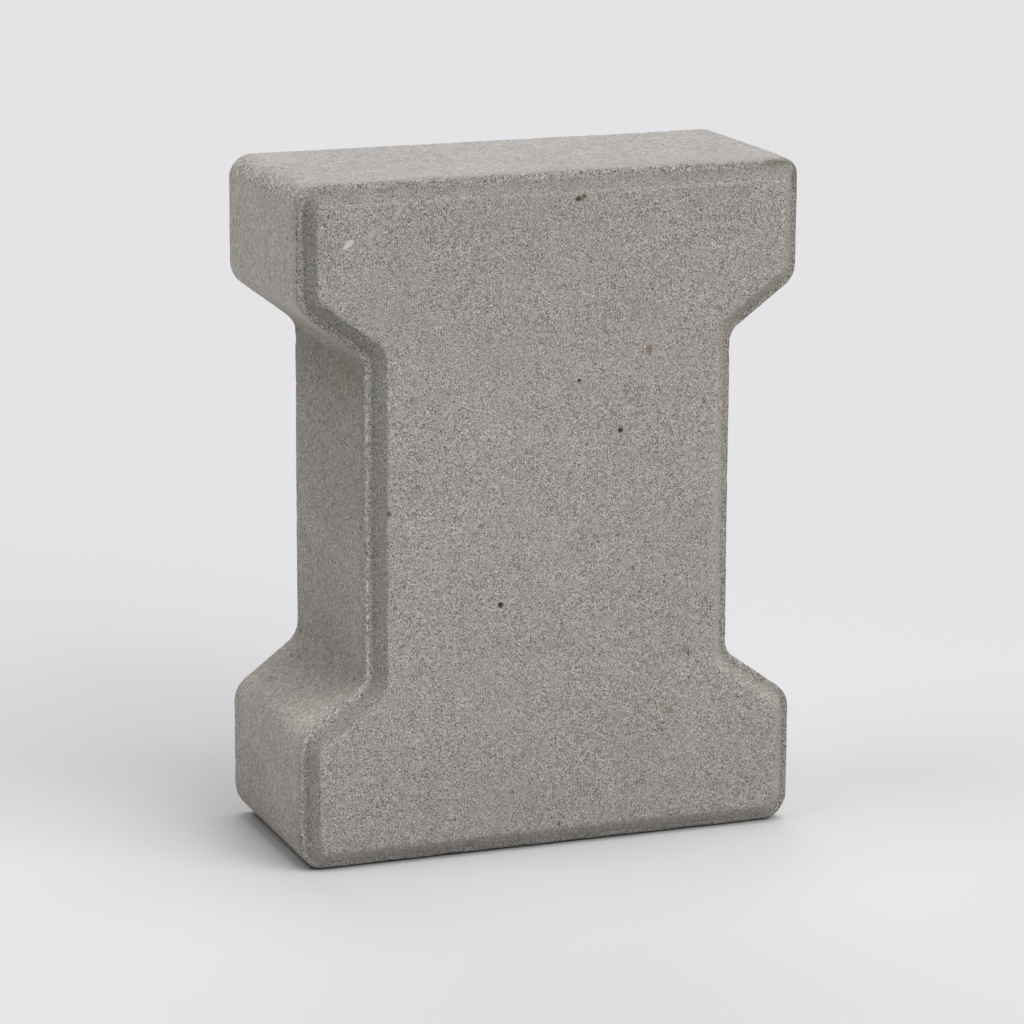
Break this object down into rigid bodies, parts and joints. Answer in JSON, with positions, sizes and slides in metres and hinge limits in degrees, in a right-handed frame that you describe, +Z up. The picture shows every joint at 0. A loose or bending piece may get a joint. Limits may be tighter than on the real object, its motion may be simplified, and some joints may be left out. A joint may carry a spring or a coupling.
{
  "type": "interlocking concrete paver",
  "caption": "Thick I-shaped block of plain grey concrete with slanted shoulders, rounded corners and a stepped, bevelled edge round its wear face, standing on one end.",
  "frame": {"origin": "middle of the underside of the block's box, on the end face that it stands on", "axes": "+Z up along the block's length, X across the heads, wear face looking along -Y, bed face along +Y"},
  "size_m": [0.1536, 0.065, 0.2],
  "materials": {
    "concrete": "matte, dry-pressed, unsealed"
  },
  "bodies": {
    "root": {"paver": "concrete"}
  },
  "joints": []
}
